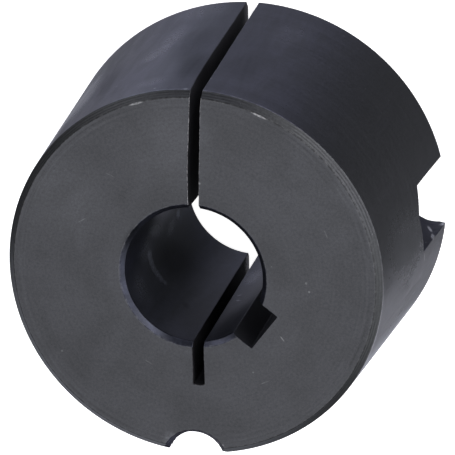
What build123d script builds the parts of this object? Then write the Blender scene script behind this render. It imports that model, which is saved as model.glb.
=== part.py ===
from build123d import *
import math
import os

os.makedirs("parts", exist_ok=True)

# Split taper bush, size 1615, bored 19 mm with a 6 mm keyway.
# Frame: Z is the bore axis, z = 0 is the large end face, z = length is the small end face.
# The saw cut is parallel to Y and opens the bush on its +Y side.

# ---- turned body (mm, degrees)
large_d = 57.15            # theoretical sharp diameter at the large end face
length = 38.1
taper_deg = 4.0            # each side, 8 degrees included
chamfer_small_end = 0.9    # 45 degrees, outside
chamfer_large_end = 0.9    # 45 degrees, outside

# ---- bore and keyway
bore_d = 19.1              # free state, for a 19 mm shaft
bore_chamfer = 0.63        # both ends, 45 degrees
key_w = 6.0
key_floor = 12.3           # bore axis to keyway floor
key_corner_r = 0.2
key_dir = -36.8            # direction of the keyway from +X, about +Z

# ---- saw cut: one pass makes the slit and the relief slot across the bore
cut_w = 1.66
cut_x0 = 0.13              # middle of the cut at z = 0
cut_skew_deg = 0.66        # the blade leans towards +X with height
cut_floor_y = -15.6        # bottom of the relief slot
cut_floor_r = 0.25

# ---- screw half-holes on the taper
screw_circle_r = 27.0
install_r = 4.96           # plain clearance hole for a 3/8 inch screw
install_dirs = (4.62, 184.62)
install_tip_z = 16.75      # deepest point of the drilled end, from the large face
install_point_slope = 0.46 # rise of the drilled end for each mm towards its tip
install_tip_shift = 0.95   # the tip stands to the counter-clockwise side of the hole's axis
removal_r = 4.0            # tapping size of the 3/8 inch BSW removal thread
removal_major_r = 4.7625
removal_dir = -90.0
hole_mouth = 0.10          # edge break at the mouths of the install half-holes

tan_t = math.tan(math.radians(taper_deg))


def taper_r(z):
    return large_d / 2 - z * tan_t


# turned section, revolved about Z
bore_r = bore_d / 2
rim_small = taper_r(length - chamfer_small_end)
rim_large = taper_r(chamfer_large_end)
section = Polyline(
    (bore_r + bore_chamfer, 0, 0),
    (rim_large - chamfer_large_end, 0, 0),
    (rim_large, 0, chamfer_large_end),
    (rim_small, 0, length - chamfer_small_end),
    (rim_small - chamfer_small_end, 0, length),
    (bore_r + bore_chamfer, 0, length),
    (bore_r, 0, length - bore_chamfer),
    (bore_r, 0, bore_chamfer),
    close=True,
)
bush = revolve(make_face(section), axis=Axis.Z)

# saw cut, right through the +Y wall and part of the way into the -Y wall
over = 3.0
cut_len = 30.0 - cut_floor_y
cutter = Box(cut_w, cut_len, length + 2 * over)
cutter = fillet(
    cutter.edges().filter_by(Axis.Z).group_by(Axis.Y)[0], radius=cut_floor_r
)
cutter = Pos(0, cut_floor_y + cut_len / 2, length / 2) * cutter
cutter = Pos(cut_x0, 0, 0) * Rot(0, cut_skew_deg, 0) * cutter
bush -= cutter

# keyway along the bore, open to it, through both faces
key_start = 6.0
key_box = Box(key_floor - key_start, key_w, length + 2 * over)
key_box = fillet(
    key_box.edges().filter_by(Axis.Z).group_by(Axis.X)[-1], radius=key_corner_r
)
key_box = Pos((key_floor + key_start) / 2, 0, length / 2) * key_box
bush -= Rot(0, 0, key_dir) * key_box


# plain install half-holes: open at the large face, drilled end inside
def install_hole(direction):
    point_h = 4 * install_r
    straight = Pos(screw_circle_r, 0, install_tip_z / 2 - over) * Cylinder(
        install_r, install_tip_z + 2 * over
    )
    end = Pos(screw_circle_r, install_tip_shift, install_tip_z - point_h / 2) * Cone(
        point_h / install_point_slope, 0, point_h
    )
    mouth = Pos(screw_circle_r, 0, (hole_mouth - 1.0) / 2) * Cone(
        install_r + hole_mouth + 1.0, install_r, 1.0 + hole_mouth
    )
    drilled = straight & end
    return Rot(0, 0, direction) * (drilled + mouth)


for d in install_dirs:
    bush -= install_hole(d)

# removal half-hole: tapping-size bore right through, mouths opened to the thread's outside
core = Pos(screw_circle_r, 0, length / 2) * Cylinder(removal_r, length + 2 * over)
mouth_h = removal_major_r - removal_r
top_mouth = Pos(screw_circle_r, 0, length - mouth_h / 2 + 0.5) * Cone(
    removal_r, removal_major_r + 1.0, mouth_h + 1.0
)
bottom_mouth = Pos(screw_circle_r, 0, mouth_h / 2 - 0.5) * Cone(
    removal_major_r + 1.0, removal_r, mouth_h + 1.0
)
bush -= Rot(0, 0, removal_dir) * (core + top_mouth + bottom_mouth)

bush = bush.solid() if hasattr(bush, "solid") else bush
bush.label = "taper_bush"

print("volume mm3 %.1f  valid %s  faces %d" % (bush.volume, bush.is_valid, len(bush.faces())))
bb = bush.bounding_box()
print("box", bb.min, bb.max)

export_step(bush, "parts/taper_bush.step")
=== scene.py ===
import math

import bpy
import numpy as np
from mathutils import Matrix, Vector


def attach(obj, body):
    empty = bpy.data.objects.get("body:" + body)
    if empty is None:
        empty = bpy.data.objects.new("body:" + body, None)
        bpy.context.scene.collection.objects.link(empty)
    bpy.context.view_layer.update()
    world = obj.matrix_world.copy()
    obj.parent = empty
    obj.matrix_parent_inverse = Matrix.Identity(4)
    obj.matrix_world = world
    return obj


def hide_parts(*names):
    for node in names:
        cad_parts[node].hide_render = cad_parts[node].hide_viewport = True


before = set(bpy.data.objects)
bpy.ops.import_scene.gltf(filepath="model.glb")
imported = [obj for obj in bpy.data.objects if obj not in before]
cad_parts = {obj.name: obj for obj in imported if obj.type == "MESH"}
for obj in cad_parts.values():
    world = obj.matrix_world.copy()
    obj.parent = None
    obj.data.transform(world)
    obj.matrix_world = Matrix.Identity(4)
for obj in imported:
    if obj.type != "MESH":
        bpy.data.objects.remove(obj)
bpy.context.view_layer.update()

# ------------------------------------------------------------------ sizes, mm
LENGTH = 38.1
TAN = math.tan(math.radians(4.0))
LARGE_R = 57.15 / 2
CHAMFER = 0.9
BORE_R = 9.55
BORE_CHAMFER = 0.63
BREAK = 0.09          # tiny round where a cut feature meets an end face
CORNER = 0.10         # tiny round along every sharp upright edge
KEY_DIR = math.radians(-36.8)
KEY_HALF = 3.0
KEY_FLOOR = 12.3
RELIEF_FLOOR = -15.6
SCREW_CIRCLE = 27.0
INSTALL_R = 4.96
TIP_Z, TIP_SLOPE, TIP_SHIFT = 16.75, 0.46, 0.95
CLOSE_Z = 16.52       # the drilled end leaves the outer surface here
THREAD_MAJOR, THREAD_MINOR, THREAD_PITCH = 4.7625, 4.0, 1.5875


def smooth(a, b, x):
    t = np.clip((x - a) / (b - a), 0.0, 1.0)
    return t * t * (3 - 2 * t)


# ------------------------------------------------------------------ profiles
def rounded(points, t, n=10):
    """A polyline with each inner corner replaced by a short curve that starts t before it and ends t after it."""
    out = [np.array(points[0], float)]
    for a, c, b in zip(points[:-2], points[1:-1], points[2:]):
        a, c, b = (np.array(p, float) for p in (a, c, b))
        p = c + (a - c) / np.linalg.norm(a - c) * t
        q = c + (b - c) / np.linalg.norm(b - c) * t
        for u in np.linspace(0, 1, n):
            out.append((1 - u) ** 2 * p + 2 * u * (1 - u) * c + u * u * q)
    out.append(np.array(points[-1], float))
    return np.array(out)


RIM_LARGE = LARGE_R - CHAMFER * TAN
RIM_SMALL = LARGE_R - (LENGTH - CHAMFER) * TAN
_outer = rounded(
    [
        (RIM_LARGE - CHAMFER - 3, 0), (RIM_LARGE - CHAMFER, 0), (RIM_LARGE, CHAMFER),
        (RIM_SMALL, LENGTH - CHAMFER), (RIM_SMALL - CHAMFER, LENGTH), (RIM_SMALL - CHAMFER - 3, LENGTH),
    ],
    0.11,
)[1:-1]
_bore = rounded(
    [
        (BORE_R + BORE_CHAMFER + 3, 0), (BORE_R + BORE_CHAMFER, 0), (BORE_R, BORE_CHAMFER),
        (BORE_R, LENGTH - BORE_CHAMFER), (BORE_R + BORE_CHAMFER, LENGTH), (BORE_R + BORE_CHAMFER + 3, LENGTH),
    ],
    0.11,
)[1:-1]


def outer_r(z):
    """Radius of the outside, with fine turned rings left on the small chamfer."""
    r = np.interp(z, _outer[:, 1], _outer[:, 0])
    d = LENGTH - z
    for centre, depth, width in ((0.24, 0.016, 0.05), (0.43, 0.020, 0.05), (0.62, 0.012, 0.05)):
        r = r - depth * np.exp(-(((d - centre) / width) ** 2))
    return r


def bore_r(z):
    return np.interp(z, _bore[:, 1], _bore[:, 0])


def edge_break(z):
    """How far cut features open where they meet an end face."""
    d = min(z, LENGTH - z)
    if d >= BREAK:
        return 0.0
    return BREAK - math.sqrt(max(0.0, BREAK**2 - (BREAK - d) ** 2))


# ------------------------------------------------------------------ saw cut walls, x as a function of y and z
_sy = np.array([8.0, 11.9, 12.7, 13.6, 14.4, 15.2, 16.1, 16.9, 17.8, 18.6, 19.4, 20.3, 21.1, 21.9, 22.8, 23.6, 24.4, 25.3, 26.2, 29.0])
_slx = np.array([-0.48, -0.49, -0.51, -0.50, -0.495, -0.49, -0.48, -0.46, -0.40, -0.365, -0.335, -0.31, -0.235, -0.20, -0.16, -0.13, -0.08, -0.08, -0.12, -0.20])
_srx = np.array([0.96, 0.97, 1.02, 1.025, 1.015, 1.01, 1.09, 1.10, 1.135, 1.12, 1.175, 1.19, 1.24, 1.22, 1.265, 1.29, 1.345, 1.43, 1.50, 1.48])


def wander(y, z, seed):
    """The blade's small wander, the same everywhere it is asked for."""
    s = seed * 1.7
    return 0.010 * np.sin(y * 1.9 + z * 0.35 + s) + 0.008 * np.sin(y * 4.3 - z * 0.9 + 2.1 * s) + 0.008 * np.sin(z * 1.3 + 0.7 * y + s)


def slit_left(y, z):
    base = np.interp(z, [0, 9, 22, LENGTH], [-0.67, -0.60, -0.56, -0.33])
    top = np.interp(y, _sy, _slx) + 0.33
    return base + top * math.exp(-(((LENGTH - z) / 4.0) ** 2)) + wander(y, z, 1)


def slit_right(y, z):
    base = np.interp(z, [0, 8, 29, LENGTH], [1.06, 1.16, 1.40, 1.36])
    top = np.interp(y, _sy, _srx) - 1.36
    return base + top * math.exp(-(((LENGTH - z) / 4.0) ** 2)) + wander(y, z, 2)


def relief_left(y, z):
    near_face = np.interp(y, [-15.6, -12.7, -12.1, -9.5], [-0.09, -0.10, -0.15, -0.14])
    return np.interp(z, [0, LENGTH], [-0.74, -0.10]) + 0.10 + near_face + 0.6 * wander(y, z, 3)


def relief_right(y, z):
    near_face = np.interp(y, [-15.6, -13.0, -12.0, -9.5], [1.49, 1.44, 1.41, 1.40])
    return np.interp(z, [0, LENGTH], [0.85, 1.49]) - 1.49 + near_face + 0.6 * wander(y, z, 4)


# ------------------------------------------------------------------ contour pieces
def bend(p, c, q, n):
    """n points between p and q, on a curve that rounds the corner c. Neither end is included."""
    u = (np.arange(1, n + 1) / (n + 1))[:, None]
    p, c, q = (np.array(v, float)[None, :] for v in (p, c, q))
    return (1 - u) ** 2 * p + 2 * u * (1 - u) * c + u * u * q


def ring(r, a0, a1, n):
    a = np.linspace(a0, a1, n)
    return np.stack([r * np.cos(a), r * np.sin(a)], 1)


def turn(p, a):
    c, s = math.cos(a), math.sin(a)
    return p @ np.array([[c, s], [-s, c]])


def on_circle(wall, r, z, shift, sign):
    """Where a wall x(y, z) meets the circle of radius r."""
    y = sign * r
    for _ in range(5):
        x = wall(y, z) + shift
        y = sign * math.sqrt(r * r - x * x)
    return x, y


def notch_curve(rho_of, centre, r):
    """Directions from centre at which a curve rho(psi) crosses the circle of radius r: the first and the last, in radians."""
    psi = np.radians(np.linspace(1, 359, 1433))
    rho = rho_of(psi)
    f = np.hypot(centre[0] + rho * np.cos(psi), centre[1] + rho * np.sin(psi)) - r
    mid = len(psi) // 2
    if f[mid] >= 0:
        return None
    hi = mid
    while f[hi] < 0:
        hi += 1
    lo = mid
    while f[lo] < 0:
        lo -= 1
    a = psi[hi - 1] + (psi[hi] - psi[hi - 1]) * (-f[hi - 1]) / (f[hi] - f[hi - 1])
    b = psi[lo + 1] + (psi[lo] - psi[lo + 1]) * (-f[lo + 1]) / (f[lo] - f[lo + 1])
    return a, b


N_INSTALL, N_FIL = 46, 3


def install_block(z, e, r, ridge, last={}):
    """Outer-surface end, round, hole wall, round, outer-surface end of one plain half-hole, in its own directions (its hole lies along +X)."""
    s = 0.0 if z < TIP_Z - TIP_SLOPE * (INSTALL_R + TIP_SHIFT) - 0.6 else TIP_SHIFT
    centre = np.array([SCREW_CIRCLE, TIP_SHIFT])
    mouth = max(0.0, 0.04 - z)
    r1 = INSTALL_R + mouth + e
    cone = (TIP_Z - z) / TIP_SLOPE

    def rho(psi):
        # the straight hole, whose axis is TIP_SHIFT to one side of centre
        b = np.sin(psi) * TIP_SHIFT
        wall = -b + np.sqrt(np.maximum(r1 * r1 - TIP_SHIFT**2 + b * b, 1e-9))
        if ridge:
            # a second, slightly larger cut that runs out along the lower wall
            deg = np.degrees(psi)
            x = SCREW_CIRCLE + wall * np.cos(psi)
            edge = np.interp(x, [24.9, 25.36, 25.8, 26.2, 26.6, 26.9, 27.2, 27.6, 28.4], [0.3, 0.9, 1.1, 1.75, 2.7, 3.8, 5.1, 6.9, 9.5])
            side = smooth(-0.10, 0.10, edge - z)
            wall = wall + 0.17 * side * smooth(225, 250, deg)
        return np.minimum(wall, max(cone, 0.0))

    n = N_INSTALL
    ab = notch_curve(rho, centre, r) if z <= CLOSE_Z + 1e-6 else None
    total = n + 2 * N_FIL + 2
    if ab is None:
        # closed: the same points lie on the outer surface, and spread out again above
        w = smooth(CLOSE_Z, 24.0, z)
        a0, a1 = last["span"]
        lo = a0 * (1 - w) + math.radians(-9.5) * w
        hi = a1 * (1 - w) + math.radians(9.5) * w
        return ring(r, lo, hi, total), np.zeros(total)
    pa, pb = ab
    ra, rb = (float(rho(np.array([v]))[0]) for v in (pa, pb))
    ca = centre + ra * np.array([math.cos(pa), math.sin(pa)])
    cb = centre + rb * np.array([math.cos(pb), math.sin(pb)])
    t = min(CORNER * 1.3, 0.22 * min(ra, rb))
    ta, tb = math.atan2(ca[1], ca[0]), math.atan2(cb[1], cb[0])
    start = np.array([r * math.cos(ta - t / r), r * math.sin(ta - t / r)])
    end = np.array([r * math.cos(tb + t / r), r * math.sin(tb + t / r)])
    psi = np.linspace(pa - t / ra, pb + t / rb, n)
    rr = rho(psi)
    wall = centre[None, :] + rr[:, None] * np.stack([np.cos(psi), np.sin(psi)], 1)
    pts = np.vstack([start[None], bend(start, ca, wall[0], N_FIL), wall, bend(wall[-1], cb, end, N_FIL), end[None]])
    last["span"] = (ta - t / r, tb + t / r)
    edge = np.zeros(total)
    edge[1:1 + N_FIL] = 1
    edge[-1 - N_FIL:-1] = 1
    return pts, edge


def thread_r(phase):
    """Radius of the tapped thread at a phase of 0 to 1 from one root to the next."""
    d = np.abs((phase + 0.5) % 1.0 - 0.5) * THREAD_PITCH
    root = THREAD_MAJOR - 0.218 + np.sqrt(np.maximum(0.218**2 - d * d, 0))
    flank = 4.6458 - (d - 0.193) * 1.921
    r = np.where(d < 0.193, root, flank)
    return np.maximum(r, THREAD_MINOR) + 0.02 * np.clip(1 - np.abs(d - 0.56) / 0.08, 0, 1)


N_THREAD = 42
SPAN_THREAD = math.radians(11.4)


def thread_block(z, e, r):
    """As install_block, for the tapped half-hole, in directions where it lies along +X."""
    centre = np.array([SCREW_CIRCLE, 0.0])
    d = min(z, LENGTH - z)
    mouth = THREAD_MAJOR - 0.10 - d + e

    def rho(psi):
        return np.maximum(thread_r(z / THREAD_PITCH - psi / (2 * math.pi)), mouth)

    pa, pb = notch_curve(rho, centre, r)
    ra, rb = (float(rho(np.array([v]))[0]) for v in (pa, pb))
    ca = centre + ra * np.array([math.cos(pa), math.sin(pa)])
    cb = centre + rb * np.array([math.cos(pb), math.sin(pb)])
    t = CORNER * 0.8
    ta, tb = math.atan2(ca[1], ca[0]), math.atan2(cb[1], cb[0])
    start = np.array([r * math.cos(ta - t / r), r * math.sin(ta - t / r)])
    end = np.array([r * math.cos(tb + t / r), r * math.sin(tb + t / r)])
    psi = np.linspace(pa - t / ra, pb + t / rb, N_THREAD)
    wall = centre[None, :] + rho(psi)[:, None] * np.stack([np.cos(psi), np.sin(psi)], 1)
    out0 = ring(r, -SPAN_THREAD, ta - t / r, 3)
    out1 = ring(r, tb + t / r, SPAN_THREAD, 3)
    pts = np.vstack([out0, bend(start, ca, wall[0], N_FIL), wall, bend(wall[-1], cb, end, N_FIL), out1])
    edge = np.zeros(len(pts))
    edge[3:3 + N_FIL] = 1
    edge[-3 - N_FIL:-3] = 1
    return pts, edge


A_STEP = math.radians(1.45)
_span0 = math.radians(184.8 - 11.2)
N_A0, N_A1, N_A2, N_A3 = 57, 44, 50, 52
N_W, N_B1, N_B2, N_B3 = 34, 56, 14, 92

# zones: 0 end faces and rims, 1 taper, 2 bore, 3 sawn, 4 keyway, 5 drilled
last_left, last_right = {}, {}


def contour(z, e, r, rb):
    """The section at height z without the tapped half-hole, in two runs: from it round to it. Returns points, edge flags and zones, for the run after the
    tapped hole (A2 .. slit .. bore .. slit .. A1)."""
    t = CORNER
    pts, edge, zone = [], [], []

    def add(p, flag, zn):
        pts.append(p)
        edge.append(np.full(len(p), float(flag)) if np.isscalar(flag) else flag)
        zone.append(np.full(len(p), zn) if np.isscalar(zn) else zn)

    def at(p, a, rr):
        return np.array([rr * math.cos(a), rr * math.sin(a)])

    # corners of the saw cut with the outside and with the bore
    sl = lambda y, zz: slit_left(y, zz) - e
    sr = lambda y, zz: slit_right(y, zz) + e
    xl, yl = on_circle(sl, r, z, 0, 1)
    xr, yr = on_circle(sr, r, z, 0, 1)
    xlb, ylb = on_circle(sl, rb, z, 0, 1)
    xrb, yrb = on_circle(sr, rb, z, 0, 1)
    al, ar = math.atan2(yl, xl), math.atan2(yr, xr)
    alb, arb = math.atan2(ylb, xlb), math.atan2(yrb, xrb)
    # install half-holes
    right, redge = install_block(z, e, r, True, last_right)
    right = turn(right, math.radians(4.62))
    left, ledge = install_block(z, e, r, False, last_left)
    left = turn(left, math.radians(184.62))
    hole_zone = np.full(len(right), 5 if z <= CLOSE_Z + 1e-6 else 1)
    hole_zone[[0, 1, -2, -1]] = 1
    ang = lambda p: math.atan2(p[1], p[0]) % (2 * math.pi)
    two = 2 * math.pi
    thread_end = math.radians(270) + SPAN_THREAD
    thread_start = math.radians(270) - SPAN_THREAD

    # A2: from the tapped hole to the right install hole
    a_r0 = ang(right[0])
    a_r0 += two if a_r0 < math.pi else 0
    add(ring(r, thread_end, a_r0, N_A2 + 1)[1:-1], 0, 1)
    add(right, redge, hole_zone)
    a_r1 = ang(right[-1])
    a_r1 -= two if a_r1 > math.pi else 0
    # A3: on to the slit's right wall
    end_a = ar - t / r
    add(ring(r, a_r1, end_a, N_A3 + 1)[1:], 0, 1)
    top = np.array([sr(yr - t, z), yr - t])
    add(bend(at(None, end_a, r), (xr, yr), top, N_FIL), 1, 1)
    # slit right wall, inward
    ys = np.linspace(yr - t, yrb + t, N_W)
    add(np.stack([sr(ys, z), ys], 1), 0, 3)
    b0 = arb - t / rb
    add(bend((sr(yrb + t, z), yrb + t), (xrb, yrb), at(None, b0, rb), N_FIL), 1, 2)

    # bore to the keyway, clockwise
    half = KEY_HALF + e
    ka = math.asin(half / rb)
    k0 = KEY_DIR + ka
    k1 = KEY_DIR - ka
    add(ring(rb, b0, k0 + t / rb, N_B1), 0, 2)
    u0 = rb * math.cos(ka)
    floor = KEY_FLOOR + e
    f = 0.2
    kp = lambda u, v: np.array([u * math.cos(KEY_DIR) - v * math.sin(KEY_DIR), u * math.sin(KEY_DIR) + v * math.cos(KEY_DIR)])
    add(bend(at(None, k0 + t / rb, rb), kp(u0, half), kp(u0 + t, half), N_FIL), 1, 2)
    add(np.array([kp(u, half) for u in np.linspace(u0 + t, floor - f, 7)]), 0, 4)
    add(bend(kp(floor - f, half), kp(floor, half), kp(floor, half - f), 4), 0, 4)
    add(np.array([kp(floor, v) for v in np.linspace(half - f, -half + f, 9)]), 0, 4)
    add(bend(kp(floor, -half + f), kp(floor, -half), kp(floor - f, -half), 4), 0, 4)
    add(np.array([kp(u, -half) for u in np.linspace(floor - f, u0 + t, 7)]), 0, 4)
    add(bend(kp(u0 + t, -half), kp(u0, -half), at(None, k1 - t / rb, rb), N_FIL), 1, 2)

    # bore to the relief slot
    rl = lambda y, zz: relief_left(y, zz) - e
    rr_ = lambda y, zz: relief_right(y, zz) + e
    xq, yq = on_circle(rr_, rb, z, 0, -1)
    xp, yp = on_circle(rl, rb, z, 0, -1)
    aq, ap = math.atan2(yq, xq), math.atan2(yp, xp)
    add(ring(rb, k1 - t / rb, aq + t / rb, N_B2), 0, 2)
    add(bend(at(None, aq + t / rb, rb), (xq, yq), (rr_(yq - t, z), yq - t), N_FIL), 1, 2)
    fy, fr = RELIEF_FLOOR - e, 0.28
    ys = np.linspace(yq - t, fy + fr, 14)
    add(np.stack([rr_(ys, z), ys], 1), 0, 3)
    add(bend((rr_(fy + fr, z), fy + fr), (rr_(fy, z), fy), (rr_(fy, z) - fr, fy), 4), 0, 3)
    xs = np.linspace(rr_(fy, z) - fr, rl(fy, z) + fr, 7)
    sag = 0.05 * np.sin(np.linspace(0, math.pi, 7))
    add(np.stack([xs, fy - 0.0 * xs - sag], 1), 0, 3)
    add(bend((rl(fy, z) + fr, fy), (rl(fy, z), fy), (rl(fy + fr, z), fy + fr), 4), 0, 3)
    ys = np.linspace(fy + fr, yp - t, 14)
    add(np.stack([rl(ys, z), ys], 1), 0, 3)
    add(bend((rl(yp - t, z), yp - t), (xp, yp), at(None, ap - t / rb, rb), N_FIL), 1, 2)
    # bore round to the slit's left wall, clockwise
    add(ring(rb, ap - t / rb, alb - two + t / rb, N_B3), 0, 2)
    add(bend(at(None, alb + t / rb, rb), (xlb, ylb), (sl(ylb + t, z), ylb + t), N_FIL), 1, 2)
    ys = np.linspace(ylb + t, yl - t, N_W)
    add(np.stack([sl(ys, z), ys], 1), 0, 3)
    a0 = al + t / r
    add(bend((sl(yl - t, z), yl - t), (xl, yl), at(None, a0, r), N_FIL), 1, 1)
    # A0: to the left install hole, then A1 to the tapped hole
    add(ring(r, a0, ang(left[0]), N_A0)[:-1], 0, 1)
    add(left, ledge, hole_zone)
    add(ring(r, ang(left[-1]), thread_start, N_A1 + 1)[1:-1], 0, 1)
    return np.vstack(pts), np.concatenate(edge), np.concatenate(zone)


# ------------------------------------------------------------------ levels
near = [0, 0.01, 0.028, 0.055, 0.09, 0.15, 0.19, 0.22, 0.25, 0.28, 0.33, 0.38, 0.41, 0.44, 0.47, 0.52, 0.56, 0.60, 0.64, 0.68,
        0.73, 0.79, 0.84, 0.87, 0.90, 0.94, 0.98, 1.02, 1.2, 1.6]
low = [0, 0.01, 0.028, 0.055, 0.09, 0.15, 0.22, 0.30, 0.40, 0.5, 0.56, 0.60, 0.64, 0.68, 0.73, 0.79, 0.84, 0.87, 0.90, 0.94, 0.98, 1.02, 1.2, 1.6]
cone_levels = list(np.linspace(13.7, CLOSE_Z, 26)) + [CLOSE_Z + 0.03, CLOSE_Z + 0.12, CLOSE_Z + 0.4]
coarse = set(round(v, 5) for v in low) | set(round(LENGTH - v, 5) for v in near) | set(round(v, 5) for v in cone_levels)
coarse |= {2.2, 3.0, 3.8, 4.6, 5.4, 6.2, 7.0, 8.0, 9.2, 10.6, 12.0, 13.0, 17.6, 18.8, 20.2, 22.0, 24.0, 26.0, 28.0, 30.0, 32.0, 33.6, 34.8, 35.7}
coarse = sorted(coarse)
fine = set(coarse) | set(round(v, 5) for v in np.arange(0, LENGTH, THREAD_PITCH / 11))
fine = sorted(fine)
keep = [fine[0]]
cset = set(coarse)
for v in fine[1:]:
    if v in cset or v - keep[-1] > 0.03:
        keep.append(v)
fine = keep

verts, vedge, vzone, vflat = [], [], [], []


def put(p, z, edge, zone, flat):
    """Adds one row of vertices and gives their numbers."""
    first = len(verts)
    for (x, y), g, k in zip(p, edge, zone):
        verts.append((x, y, z))
        vedge.append(g)
        vzone.append(k)
        vflat.append(flat)
    return list(range(first, len(verts)))


def rows_of(levels, make):
    """Rows for a list of heights, with one more ring laid inside each end face."""
    rows = []
    inner = 0.10
    for end in (0, 1, 2):
        zs = [0.0] if end == 0 else levels if end == 1 else [LENGTH]
        for z in zs:
            e = edge_break(z)
            r, rb = float(outer_r(z)), float(bore_r(z))
            flat = 0
            if end != 1:
                e, r, rb = e + inner, r - inner, rb + inner
                flat = -1 if end == 0 else 1
            elif z == 0.0:
                flat = -1
            elif z == LENGTH:
                flat = 1
            rows.append(make(z, e, r, rb, flat, end != 1))
    return rows


def coarse_row(z, e, r, rb, flat, inner):
    if z == 0.0 and inner and not verts:
        # the closed part of the drilled ends needs the spans of the last open section
        contour(CLOSE_Z, 0, float(outer_r(CLOSE_Z)), BORE_R)
    p, g, k = contour(z, e, r, rb)
    d = min(z, LENGTH - z)
    face = flat != 0
    g = g * 1.0
    if inner:
        g = g * 0
    elif d < 0.10:
        g = np.maximum(g, 0.75)
    k = k.copy()
    if face:
        k[:] = 0
    elif d < CHAMFER - 0.01:
        k[(k == 1)] = 0
    if not inner:
        out = (k == 0) & (np.hypot(p[:, 0], p[:, 1]) > 20)
        if abs(d - CHAMFER) < 0.09:
            g = np.where(np.hypot(p[:, 0], p[:, 1]) > r - 0.15, np.maximum(g, 0.8), g)
        if abs(d - BORE_CHAMFER) < 0.07:
            g = np.where(np.abs(np.hypot(p[:, 0], p[:, 1]) - rb) < 0.05, np.maximum(g, 0.5), g)
    return put(p, z, g, k, flat)


def fine_row(z, e, r, rb, flat, inner):
    p, g = thread_block(z, e, r)
    p = turn(p, math.radians(270))
    k = np.full(len(p), 5)
    k[:3] = 1
    k[-3:] = 1
    d = min(z, LENGTH - z)
    if inner:
        g = g * 0
    elif d < 0.10:
        g = np.maximum(g, 0.75)
    if flat != 0:
        k[:] = 0
    elif d < CHAMFER - 0.01:
        k[k == 1] = 0
    return put(p, z, g, k, flat)


crow = rows_of(coarse, coarse_row)
frow = rows_of(fine, fine_row)
clev = [-1.0] + list(coarse) + [LENGTH + 1]
flev = [-1.0] + list(fine) + [LENGTH + 1]
index_of = {v: i for i, v in enumerate(flev)}

faces = []
for lo, hi in zip(crow[:-1], crow[1:]):
    for j in range(len(lo) - 1):
        faces.append((lo[j], lo[j + 1], hi[j + 1], hi[j]))
for lo, hi in zip(frow[:-1], frow[1:]):
    for j in range(len(lo) - 1):
        faces.append((lo[j], lo[j + 1], hi[j + 1], hi[j]))
# the tapped strip has more rows than the rest: fans join them on both sides
for i in range(len(clev) - 1):
    f0, f1 = index_of[clev[i]], index_of[clev[i + 1]]
    chain = list(range(f0, f1 + 1))
    mid = (len(chain) - 1) // 2
    # side 1: the strip's last column to the first column of the coarse run
    a, b = crow[i][0], crow[i + 1][0]
    col = [frow[k][-1] for k in chain]
    for s in range(mid):
        faces.append((col[s], a, col[s + 1]))
    faces.append((col[mid], a, b, col[mid + 1]) if mid + 1 < len(col) else (col[mid], a, b))
    for s in range(mid + 1, len(col) - 1):
        faces.append((col[s], b, col[s + 1]))
    # side 2: the last column of the coarse run to the strip's first column
    a, b = crow[i][-1], crow[i + 1][-1]
    col = [frow[k][0] for k in chain]
    for s in range(mid):
        faces.append((a, col[s], col[s + 1]))
    faces.append((a, col[mid], col[mid + 1], b) if mid + 1 < len(col) else (a, col[mid], b))
    for s in range(mid + 1, len(col) - 1):
        faces.append((b, col[s], col[s + 1]))
top_cap = crow[-1] + frow[-1]
bottom_cap = crow[0] + frow[0]
faces.append(tuple(top_cap))
faces.append(tuple(reversed(bottom_cap)))

V = np.array(verts, float)
E = np.array(vedge, float)
Z = np.array(vzone, int)
FL = np.array(vflat, int)

me = bpy.data.meshes.new("taper_bush_visual")
me.from_pydata([tuple(v) for v in (V * 0.001)], [], faces)
me.validate(verbose=False)
me.update()

# area-weighted corner normals, exact on the end faces
tri_a, tri_b, tri_c = [], [], []
for f in faces[:-2]:
    for k in range(1, len(f) - 1):
        tri_a.append(f[0]); tri_b.append(f[k]); tri_c.append(f[k + 1])
A, B, C = V[tri_a], V[tri_b], V[tri_c]
cr = np.cross(B - A, C - A)
N = np.zeros_like(V)
for idx in (tri_a, tri_b, tri_c):
    np.add.at(N, idx, cr)
N[FL != 0] = 0
N[FL != 0, 2] = FL[FL != 0]
N /= np.maximum(np.linalg.norm(N, axis=1, keepdims=True), 1e-12)

me.polygons.foreach_set("use_smooth", np.ones(len(me.polygons), bool))
me.normals_split_custom_set_from_vertices([tuple(n) for n in N])

# the saw cut's edges on the small end
cut_l = slit_left(V[:, 1], LENGTH)
cut_r = slit_right(V[:, 1], LENGTH)
near_cut = (np.abs(V[:, 0] - cut_l) < 0.085) | (np.abs(V[:, 0] - cut_r) < 0.085)
SL = (near_cut & (V[:, 1] > 9.4) & (V[:, 2] > LENGTH - 0.06)) * 1.0

for name, values in (
    ("edge", E),
    ("m_slit", SL),
    ("m_face", (Z == 0) * 1.0),
    ("m_cham", ((Z == 0) & (FL == 0) & (np.hypot(V[:, 0], V[:, 1]) > 20)) * 1.0),
    ("m_taper", (Z == 1) * 1.0),
    ("m_bore", (Z == 2) * 1.0),
    ("m_sawn", ((Z == 3)) * 1.0),
    ("m_key", ((Z == 4)) * 1.0),
    ("m_drill", ((Z == 5)) * 1.0),
):
    at = me.attributes.new(name, "FLOAT", "POINT")
    at.data.foreach_set("value", values.astype(np.float32))

bush = bpy.data.objects.new("split_bush", me)
bpy.context.scene.collection.objects.link(bush)
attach(bush, "root")
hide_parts("taper_bush")
print("bush: %d vertices, %d faces, %d triangles" % (len(me.vertices), len(me.polygons), sum(len(p.vertices) - 2 for p in me.polygons)))

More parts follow.
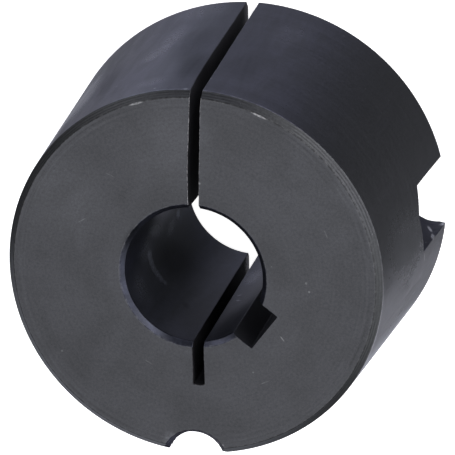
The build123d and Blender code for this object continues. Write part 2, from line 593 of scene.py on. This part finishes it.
# ------------------------------------------------------------------ material
class Net:
    """Short helpers for building a shader tree. Every value is an output socket or a number."""

    def __init__(self, tree):
        self.tree = tree

    def node(self, kind, **props):
        n = self.tree.nodes.new(kind)
        for k, v in props.items():
            setattr(n, k, v)
        return n

    def feed(self, socket, value):
        if isinstance(value, bpy.types.NodeSocket):
            self.tree.links.new(value, socket)
        else:
            socket.default_value = value

    def math(self, op, a, b=None, c=None, clamp=False):
        n = self.node("ShaderNodeMath", operation=op, use_clamp=clamp)
        for i, v in enumerate((a, b, c)):
            if v is not None:
                self.feed(n.inputs[i], v)
        return n.outputs[0]

    def add(self, a, b):
        return self.math("ADD", a, b)

    def mul(self, a, b):
        return self.math("MULTIPLY", a, b)

    def vec(self, op, a, b=None):
        n = self.node("ShaderNodeVectorMath", operation=op)
        self.feed(n.inputs[0], a)
        if b is not None:
            self.feed(n.inputs[3 if op == "SCALE" else 1], b)
        return n.outputs[1 if op in ("LENGTH", "DOT_PRODUCT") else 0]

    def xyz(self, x, y, z):
        n = self.node("ShaderNodeCombineXYZ")
        for i, v in enumerate((x, y, z)):
            self.feed(n.inputs[i], v)
        return n.outputs[0]

    def noise(self, at, scale, detail=2.0, rough=0.5, warp=0.0):
        n = self.node("ShaderNodeTexNoise")
        self.feed(n.inputs["Vector"], at)
        n.inputs["Scale"].default_value = scale
        n.inputs["Detail"].default_value = detail
        n.inputs["Roughness"].default_value = rough
        n.inputs["Distortion"].default_value = warp
        return n.outputs["Fac"]

    def step(self, x, a, b, lo=0.0, hi=1.0):
        n = self.node("ShaderNodeMapRange", interpolation_type="SMOOTHSTEP")
        self.feed(n.inputs["Value"], x)
        for k, v in (("From Min", a), ("From Max", b), ("To Min", lo), ("To Max", hi)):
            n.inputs[k].default_value = v
        return n.outputs["Result"]

    def line(self, x, a, b, lo=0.0, hi=1.0):
        n = self.node("ShaderNodeMapRange")
        self.feed(n.inputs["Value"], x)
        for k, v in (("From Min", a), ("From Max", b), ("To Min", lo), ("To Max", hi)):
            n.inputs[k].default_value = v
        return n.outputs["Result"]

    def mix(self, fac, a, b):
        n = self.node("ShaderNodeMix", data_type="RGBA")
        self.feed(n.inputs[0], fac)
        for i, v in ((6, a), (7, b)):
            if isinstance(v, tuple):
                v = (*v, 1.0)
            self.feed(n.inputs[i], v)
        return n.outputs[2]

    def mixf(self, fac, a, b):
        n = self.node("ShaderNodeMix", data_type="FLOAT")
        self.feed(n.inputs[0], fac)
        self.feed(n.inputs[2], a)
        self.feed(n.inputs[3], b)
        return n.outputs[0]

    def attr(self, name):
        return self.node("ShaderNodeAttribute", attribute_name=name).outputs["Fac"]

    def mark(self, at, p, q, width, soft=1.0):
        """1 on a soft-ended stroke from p to q (mm), 0 away from it. The stroke is an ellipsoid, width across."""
        p, q = Vector(p), Vector(q)
        half = (q - p) / 2
        n = self.node("ShaderNodeTexGradient", gradient_type="SPHERICAL")
        n.texture_mapping.vector_type = "TEXTURE"
        n.texture_mapping.translation = (p + q) / 2
        n.texture_mapping.rotation = half.to_track_quat("X", "Z").to_euler("XYZ")
        n.texture_mapping.scale = (max(half.length, width), width, width)
        self.feed(n.inputs["Vector"], at)
        return self.step(n.outputs["Fac"], 0.0, soft)


mat = bpy.data.materials.new("blackened_iron")
mat.use_nodes = True
net = Net(mat.node_tree)
bsdf = mat.node_tree.nodes["Principled BSDF"]

P = net.vec("SCALE", net.node("ShaderNodeTexCoord").outputs["Object"], 1000.0)
sep = net.node("ShaderNodeSeparateXYZ")
net.feed(sep.inputs[0], P)
X, Y, Zc = sep.outputs
R = net.vec("LENGTH", net.xyz(X, Y, 0.0))
lathe = net.math("SUBTRACT", Zc, net.mul(R, 0.6))       # runs across the tool marks on every turned surface

m_face, m_taper, m_bore = net.attr("m_face"), net.attr("m_taper"), net.attr("m_bore")
m_sawn, m_key, m_drill = net.attr("m_sawn"), net.attr("m_key"), net.attr("m_drill")
m_cham, m_slit, edge_wear_and_glint = net.attr("m_cham"), net.attr("m_slit"), net.attr("edge")

# fields
turned = net.noise(net.xyz(net.mul(X, 0.05), net.mul(Y, 0.05), net.mul(lathe, 5.5)), 1.0, 3.0, 0.55)      # fine tool marks
band = net.noise(net.xyz(net.mul(X, 0.07), net.mul(Y, 0.07), net.mul(lathe, 0.9)), 1.0, 2.0, 0.5)         # broader bands
cloud = net.noise(P, 0.16, 3.0, 0.55, 0.6)
wipe = net.noise(net.xyz(net.mul(X, 0.42), net.mul(Y, 0.42), net.mul(Zc, 0.085)), 1.0, 3.0, 0.6, 0.5)     # wiped along the axis
grain = net.noise(P, 2.6, 3.0, 0.7)
fine = net.noise(P, 7.0, 2.0, 0.6)
tint = net.noise(P, 0.085, 1.0, 0.5, 0.3)

# sparse specks
vor = net.node("ShaderNodeTexVoronoi", feature="F1")
net.feed(vor.inputs["Vector"], P)
vor.inputs["Scale"].default_value = 0.36
vor.inputs["Randomness"].default_value = 1.0
vs = net.node("ShaderNodeSeparateXYZ")
net.feed(vs.inputs[0], vor.outputs["Color"])
speck = net.mul(net.step(vor.outputs["Distance"], 0.060, 0.028), net.step(vs.outputs[0], 0.70, 0.78))

# tone marks: (from, to, half width, change); the change multiplies the tone under a soft-ended stroke. Most are lighter
# and darker patches; those noted below are painted highlights and painted shade
PATCHES_AND_PAINTED_LIGHT = (
    # lighter and darker patches on the taper
    ((-10.5, 24.95, 23.5), (-8.2, 26.1, 16.0), 2.30, 0.50),
    ((-8.6, 26.0, 20.0), (-7.6, 26.9, 8.0), 2.30, 0.50),
    ((-8.9, 25.8, 20.5), (-8.1, 26.1, 15.5), 1.20, 0.40),
    ((-9.9, 25.2, 23.5), (-9.3, 25.5, 18.5), 1.20, 0.50),
    ((-3.9, 26.6, 28.5), (-4.7, 27.4, 9.0), 3.60, -0.42),
    ((-1.6, 26.3, 35.5), (-2.2, 26.7, 21.0), 3.20, -0.55),
    ((-9.3, 24.6, 33.0), (-4.0, 26.0, 33.0), 2.40, 0.40),
    ((-8.4, 27.1, 3.1), (-2.8, 28.0, 4.6), 5.00, 0.35),
    ((-14.2, 22.4, 34.0), (-15.2, 22.9, 14.0), 3.00, -0.30),
    # painted highlight: the taper made lighter along its left outline, where it reflects at a grazing angle
    ((-18.6, 19.2, 37.0), (-20.3, 20.0, 6.0), 3.60, 1.10),
    ((-20.3, 17.0, 37.0), (-22.0, 18.0, 6.0), 2.60, 0.90),
    ((6.5, 26.8, 18.0), (9.0, 26.6, 4.0), 3.40, 0.35),
    ((4.6, 26.3, 33.0), (4.8, 26.8, 20.0), 3.00, -0.20),
    # painted highlight: a broad lighter area on the right of the taper, towards its outline
    ((26.0, 3.4, 38.0), (27.2, -1.6, 8.0), 7.50, 0.95),
    ((24.5, -9.5, 35.0), (25.2, -9.5, 10.0), 1.00, 0.55),
    ((25.4, -7.2, 35.0), (25.9, -7.2, 10.0), 0.60, -0.30),
    # bore: lighter and darker patches, scratches, and the painted highlights and painted shade noted below
    ((-9.0, -3.2, 27.0), (-6.0, -7.4, 7.0), 4.60, -0.55),
    ((-9.5, 0.5, 32.0), (-9.5, -1.6, 22.0), 2.60, 0.50),
    ((-9.2, -2.4, 36.0), (-7.6, -5.8, 30.0), 3.80, 0.45),
    ((-9.3, 2.0, 27.0), (-9.4, -1.5, 15.0), 1.50, 0.80),
    # painted highlight: a curved highlight in the bore, as a chain of short upright strokes
    ((-9.3, -2.1, 26.4), (-9.3, -2.1, 23.6), 0.85, 1.9),
    ((-9.05, -3.0, 26.6), (-9.05, -3.0, 23.8), 0.85, 1.9),
    ((-8.7, -3.9, 26.6), (-8.7, -3.9, 23.9), 0.80, 1.6),
    ((-8.3, -4.7, 26.3), (-8.3, -4.7, 23.8), 0.75, 1.4),
    ((-7.8, -5.5, 25.9), (-7.8, -5.5, 23.7), 0.70, 1.4),
    ((-7.3, -6.15, 25.4), (-7.3, -6.15, 23.7), 0.60, 1.4),
    # painted highlight: a short upright highlight deep in the bore
    ((-9.45, -1.3, 6.6), (-9.38, -1.8, 9.4), 0.80, 5.0),
    ((-9.4, -1.7, 9.0), (-9.2, -2.5, 16.0), 1.10, 0.9),
    ((1.7, -9.4, 19.3), (2.5, -9.2, 19.0), 0.26, 3.4),
    ((2.0, -9.3, 21.3), (2.9, -9.1, 21.6), 0.26, 3.0),
    ((2.3, -9.3, 7.0), (2.5, -9.2, 16.0), 1.7, 0.80),
    ((-3.4, -8.9, 27.5), (-4.4, -8.5, 25.0), 0.80, -0.30),
    # painted shade: one side of the bore's chamfer made darker
    ((-9.9, 2.6, 37.9), (-6.9, 7.4, 37.9), 1.10, -0.60),
    # large soft areas on the face
    ((-9.0, 17.0, 38.1), (4.0, 19.0, 38.1), 9.0, 0.20),
    ((-22.0, 4.0, 38.1), (-14.0, 16.0, 38.1), 9.0, 0.22),
    ((-20.0, -6.0, 38.1), (-12.0, -18.0, 38.1), 7.0, -0.05),
    ((-4.0, -20.0, 38.1), (4.0, -20.0, 38.1), 5.5, -0.07),
    # painted light: the wall of the removal half-hole made lighter by its left corner
    ((-4.1, -24.8, 37.9), (-2.6, -23.4, 36.5), 1.80, 1.10),
    # painted highlight: a lighter stretch of the outer chamfer
    ((19.0, 16.0, 37.6), (23.0, 9.0, 37.6), 1.5, 0.18),
)
# bright nicks, burrs and scratches, and one painted highlight along the rim: (from, to, half width, strength)
NICKS_AND_RIM_GLINT = (
    # right install half-hole: burr along its corner and specks on the drilled end
    ((28.05, -2.6, 2.6), (28.05, -2.9, 0.3), 0.50, 0.8),
    ((26.0, -2.6, 2.6), (27.3, -2.75, 5.8), 0.30, 0.75),
    ((27.3, -2.75, 5.8), (27.9, -2.72, 9.0), 0.34, 0.70),
    ((27.0, -2.9, 9.5), (27.3, -3.3, 11.2), 0.36, 0.75),
    ((26.9, -3.1, 7.2), (27.1, -3.1, 8.0), 0.26, 0.65),
    ((27.5, -3.0, 13.6), (27.27, -5.0, 12.2), 0.26, 0.60),
    ((27.9, -2.8, 1.5), (27.3, -2.7, 1.9), 0.28, 0.55),
    # rim of the small end: the first stroke is a painted highlight along the rim, the others nicks and a burr
    ((-6.2, 24.25, 38.08), (-8.6, 23.5, 38.08), 0.19, 0.55),
    ((8.0, 23.7, 38.08), (10.6, 22.6, 38.08), 0.19, 0.60),
    ((-0.5, 26.0, 36.9), (-1.2, 25.9, 36.95), 0.38, 0.30),
    ((6.49, 25.2, 36.5), (6.78, 24.4, 37.9), 0.11, 0.45),
    # face
    ((3.1, 7.1, 38.1), (5.4, 7.2, 38.1), 0.11, 0.22),
    ((3.6, 6.8, 38.1), (5.9, 7.0, 38.1), 0.10, 0.16),
    ((12.0, -7.6, 38.1), (12.7, -8.5, 38.1), 0.11, 0.30),
    ((15.9, -1.0, 38.1), (16.2, -1.1, 38.1), 0.20, 0.20),
    ((15.5, 0.2, 38.1), (15.8, 0.1, 38.1), 0.23, 0.22),
    ((-18.6, -12.0, 38.1), (-18.5, -12.3, 38.1), 0.20, 0.20),
    ((-16.0, 6.5, 38.1), (-14.6, 7.4, 38.1), 0.10, 0.12),
    ((9.0, -15.0, 38.1), (10.8, -14.1, 38.1), 0.10, 0.12),
    ((-7.0, -12.5, 38.1), (-5.6, -13.2, 38.1), 0.10, 0.10),
    ((-12.0, 14.0, 38.1), (-10.4, 13.3, 38.1), 0.10, 0.10),
    ((18.0, 8.0, 38.1), (18.6, 6.6, 38.1), 0.10, 0.14),
    # slit walls and mouth of the relief slot
    ((1.14, 13.4, 38.1), (1.14, 13.1, 38.1), 0.19, 0.60),
    ((1.48, 26.2, 32.7), (1.48, 26.2, 32.3), 0.23, 0.60),
    ((-0.57, 24.1, 21.2), (-0.57, 23.9, 20.8), 0.21, 0.45),
    ((-0.59, 24.6, 18.0), (-0.59, 24.4, 17.7), 0.21, 0.45),
    ((-0.12, -13.2, 34.6), (-0.12, -14.5, 34.8), 0.19, 0.16),
    # taper
    ((-12.4, 23.5, 29.5), (-12.4, 23.4, 29.2), 0.25, 0.45),
    ((-5.35, 25.5, 36.2), (-5.35, 25.5, 35.9), 0.25, 0.55),
    ((17.5, 20.5, 20.0), (17.9, 20.1, 19.6), 0.19, 0.12),
    ((22.0, 16.0, 14.0), (22.3, 15.7, 13.2), 0.19, 0.12),
    # bottom removal half-hole: chip on its right edge
    ((3.0, -23.6, 38.0), (3.6, -24.3, 37.6), 0.30, 0.35),
    ((3.7, -24.1, 38.0), (4.3, -24.4, 37.9), 0.23, 0.35),
)
# the product of all tone marks, painted highlights and painted shade among them
tone_and_painted_light = 1.0
for p, q, width, change in PATCHES_AND_PAINTED_LIGHT:
    tone_and_painted_light = net.math("MULTIPLY_ADD", net.mark(P, p, q, width, 0.8), change, tone_and_painted_light)
smoother = net.line(tone_and_painted_light, 0.2, 3.0, 1.0, -1.0)                                        # lighter marks, painted highlights among them, are also made smoother
tone_and_painted_light = net.math("MAXIMUM", tone_and_painted_light, 0.12)
soft = net.noise(P, 0.9, 2.0, 0.6)
nicks_and_rim_glint = 0.0
for p, q, width, strength in NICKS_AND_RIM_GLINT:
    nicks_and_rim_glint = net.math("MULTIPLY_ADD", net.mark(P, p, q, width, 0.6), strength, nicks_and_rim_glint)
nicks_and_rim_glint = net.mul(nicks_and_rim_glint, net.step(net.noise(P, 4.0, 2.0, 0.6), 0.30, 0.62, 0.35, 1.0))

# base colour
iron = net.mix(net.step(tint, 0.38, 0.62), (0.0320, 0.0328, 0.0370), (0.0330, 0.0333, 0.0400))
face_col = net.mix(net.step(cloud, 0.30, 0.70), (0.0350, 0.0360, 0.0392), (0.0380, 0.0390, 0.0430))
taper_col = net.mix(net.step(wipe, 0.34, 0.66), (0.0295, 0.0305, 0.0375), (0.0370, 0.0380, 0.0500))
taper_col = net.mix(net.step(X, 10.0, 22.0), taper_col, (0.0325, 0.0330, 0.0360))
bore_col = net.mix(net.step(wipe, 0.34, 0.66), (0.0190, 0.0205, 0.0270), (0.0290, 0.0310, 0.0430))
drill_col = net.mix(net.step(cloud, 0.35, 0.65), (0.0090, 0.0092, 0.0150), (0.0150, 0.0152, 0.0230))
col = net.mix(m_taper, iron, taper_col)
col = net.mix(m_face, col, face_col)
col = net.mix(m_cham, col, (0.0330, 0.0340, 0.0350))
col = net.mix(m_bore, col, bore_col)
col = net.mix(m_sawn, col, (0.0200, 0.0200, 0.0220))
col = net.mix(m_key, col, (0.0260, 0.0270, 0.0320))
col = net.mix(m_drill, col, drill_col)
lines = net.math("SINE", net.add(net.mul(lathe, 13.5), net.mul(cloud, 5.0)))           # a few coarser lines on chamfers and rim
ring = net.step(R, 22.6, 24.6)                                                      # tool marks show most near the rim
marks = net.mul(net.math("SUBTRACT", turned, 0.5), net.add(0.26, net.mul(ring, 0.55)))
grey = net.add(net.mul(net.math("SUBTRACT", grain, 0.5), 0.95), marks)
grey = net.add(grey, net.mul(net.math("SUBTRACT", fine, 0.5), 0.55))
patchy = net.step(net.noise(P, 0.30, 2.0, 0.5), 0.38, 0.60, 0.25, 1.0)
sides = net.math("MAXIMUM", net.mul(m_cham, 0.34), net.mul(net.mul(ring, m_face), 0.11))
grey = net.add(grey, net.mul(net.mul(lines, patchy), sides))
grey = net.add(grey, net.mul(net.math("SUBTRACT", band, 0.5), net.add(0.12, net.mul(m_taper, 0.22))))
grey = net.add(grey, net.mul(net.math("SUBTRACT", soft, 0.5), net.add(0.10, net.mul(m_bore, 0.5))))
colv = net.vec("SCALE", col, net.mul(net.add(1.0, grey), tone_and_painted_light))
# edges lighter in broken dashes: worn bright edges and painted edge highlights
dashes = net.step(net.noise(P, 1.6, 2.0, 0.6), 0.44, 0.62)
colv = net.mix(net.mul(net.mul(net.step(edge_wear_and_glint, 0.25, 0.9), dashes), 0.26), colv, (0.13, 0.13, 0.134))
# painted highlight along the burred edges of the saw cut on the small end
slit_edge_glint = net.mul(m_slit, net.step(net.noise(P, 2.6, 2.0, 0.6), 0.40, 0.58, 0.12, 1.0))
colv = net.mix(net.mul(slit_edge_glint, 0.85), colv, (0.30, 0.30, 0.305))
colv = net.mix(net.mul(speck, 0.30), colv, (0.16, 0.16, 0.165))
# lighten the colour under the bright nicks, burrs and the painted rim highlight
colv = net.mix(net.math("MINIMUM", nicks_and_rim_glint, 1.0), colv, (0.34, 0.34, 0.345))
net.feed(bsdf.inputs["Base Color"], colv)
bsdf.inputs["Metallic"].default_value = 0.75

# colour of the grazing reflection: clouded violet-blue on the left of the taper and in the bore, stronger or duller
# with the tone marks above, painted highlights and painted shade among them
level = net.add(net.line(tone_and_painted_light, 0.2, 2.0, 0.70, 1.0), net.mul(net.math("SUBTRACT", wipe, 0.5), net.mul(m_taper, 0.22)))
level = net.math("MINIMUM", net.math("MAXIMUM", level, 0.60), 1.0)
violet = net.mul(net.mul(m_taper, net.step(X, 16.0, 2.0)), net.step(tint, 0.30, 0.70, 0.6, 1.0))
film = net.mix(net.math("MAXIMUM", violet, net.mul(m_bore, 0.8)), (0.985, 0.990, 1.0), (0.925, 0.935, 1.0))
net.feed(bsdf.inputs["Specular Tint"], net.vec("SCALE", film, level))
bsdf.inputs["IOR"].default_value = 1.5

# roughness
rough = net.mixf(m_taper, 0.40, net.step(wipe, 0.30, 0.70, 0.36, 0.30))
rough = net.mixf(m_face, rough, net.step(cloud, 0.30, 0.70, 0.44, 0.40))
rough = net.mixf(m_bore, rough, 0.32)
rough = net.mixf(m_sawn, rough, 0.60)
rough = net.mixf(m_key, rough, 0.50)
rough = net.mixf(m_drill, rough, 0.55)
# roughness follows the tone marks, painted highlights among them
rough_from_marks = net.mul(net.math("MAXIMUM", m_taper, m_bore), net.math("SUBTRACT", smoother, 0.4286))
rough = net.add(rough, net.mul(rough_from_marks, 0.16))
rough = net.add(rough, net.mul(net.math("SUBTRACT", grain, 0.5), 0.10))
rough = net.add(rough, net.mul(net.math("SUBTRACT", turned, 0.5), 0.08))
net.feed(bsdf.inputs["Roughness"], rough)

# relief
h = net.add(net.mul(turned, 0.0016), net.mul(grain, 0.0030))
h = net.add(h, net.mul(fine, 0.0010))
saw = net.noise(net.xyz(net.mul(X, 0.3), net.mul(Y, 1.0), net.mul(Zc, 5.0)), 1.0, 2.0, 0.6)
h = net.add(h, net.mul(net.mul(saw, m_sawn), 0.030))
bump = net.node("ShaderNodeBump")
bump.inputs["Strength"].default_value = 1.0
bump.inputs["Distance"].default_value = 0.001
net.feed(bump.inputs["Height"], h)
net.feed(bsdf.inputs["Normal"], bump.outputs[0])
me.materials.append(mat)

# ------------------------------------------------------------------ floor, light, camera
scene = bpy.context.scene
scene.view_settings.view_transform = "Standard"
scene.view_settings.look = "None"

bpy.ops.mesh.primitive_plane_add(size=6, location=(0, 0, -0.00003))
floor = bpy.context.object
floor.name = "floor"
fmat = bpy.data.materials.new("floor_white")
fmat.use_nodes = True
fb = fmat.node_tree.nodes["Principled BSDF"]
fb.inputs["Base Color"].default_value = (0.8, 0.8, 0.8, 1)
fb.inputs["Roughness"].default_value = 0.9
fb.inputs["Emission Color"].default_value = (1, 1, 1, 1)
fb.inputs["Emission Strength"].default_value = 0.95
floor.data.materials.append(fmat)
floor.visible_glossy = False
floor.visible_diffuse = False

floor.visible_shadow = False

world = bpy.data.worlds.new("studio")
scene.world = world
world.use_nodes = True
world.node_tree.nodes["Background"].inputs["Color"].default_value = (0.913, 0.951, 1.000, 1)
world.node_tree.nodes["Background"].inputs["Strength"].default_value = 0.114

# round softboxes 1.2 m away: azimuth, elevation, angular radius (degrees), radiance
SOFTBOXES = (
    (-47.0, -41.0, 13, 6.400, (0.894, 0.889, 1.000)),
    (28.0, 33.0, 30, 1.136, (0.849, 0.843, 1.000)),
    (133.0, 27.0, 13, 5.170, (0.931, 0.932, 1.000)),
    (123.0, -36.0, 13, 3.504, (0.728, 0.820, 1.000)),
    (-85.0, 74.0, 29, 2.668, (0.970, 0.971, 1.000)),
    (83.0, -20.0, 30, 2.116, (0.796, 0.804, 1.000)),
    (-9.0, -3.0, 40, 1.754, (0.943, 0.957, 1.000)),
    (-119.0, -29.0, 40, 1.150, (0.850, 0.871, 1.000)),
    (143.0, -46.0, 13, 0.977, (0.867, 0.844, 1.000)),
    (163.0, -57.0, 40, 0.228, (0.866, 0.862, 1.000)),
    (15.0, 20.0, 38, 0.581, (0.974, 0.949, 1.000)),
    (48.0, 25.0, 20, 3.003, (1.000, 0.997, 0.994)),
)
for i, (az, el, radius, radiance, tone) in enumerate(SOFTBOXES):
    az, el = math.radians(az), math.radians(el)
    toward = Vector((math.cos(el) * math.cos(az), math.cos(el) * math.sin(az), math.sin(el)))
    lamp = bpy.data.lights.new("softbox_%d" % i, "AREA")
    lamp.shape = "DISK"
    lamp.size = 2 * 1.2 * math.tan(math.radians(radius))
    lamp.energy = radiance * math.pi * math.pi * (lamp.size / 2) ** 2
    lamp.color = tone
    box = bpy.data.objects.new("softbox_%d" % i, lamp)
    box.location = toward * 1.2 + Vector((0, 0, 0.019))
    box.rotation_euler = toward.to_track_quat("Z", "Y").to_euler()
    box.visible_camera = False
    scene.collection.objects.link(box)

cam = bpy.data.cameras.new("camera")
cam.sensor_width = 36.0
cam.lens = 256.355
cam.clip_start, cam.clip_end = 0.01, 20
cam_obj = bpy.data.objects.new("camera", cam)
scene.collection.objects.link(cam_obj)
right = Vector((0.974224, -0.009183, -0.225394))
up = Vector((-0.064275, 0.946454, -0.316376))
back = Vector((0.216231, 0.322708, 0.921468))
m = Matrix((
    (right.x, up.x, back.x, 0.0985621),
    (right.y, up.y, back.y, 0.1470699),
    (right.z, up.z, back.z, 0.4371805),
    (0, 0, 0, 1),
))
cam_obj.matrix_world = m
scene.camera = cam_obj
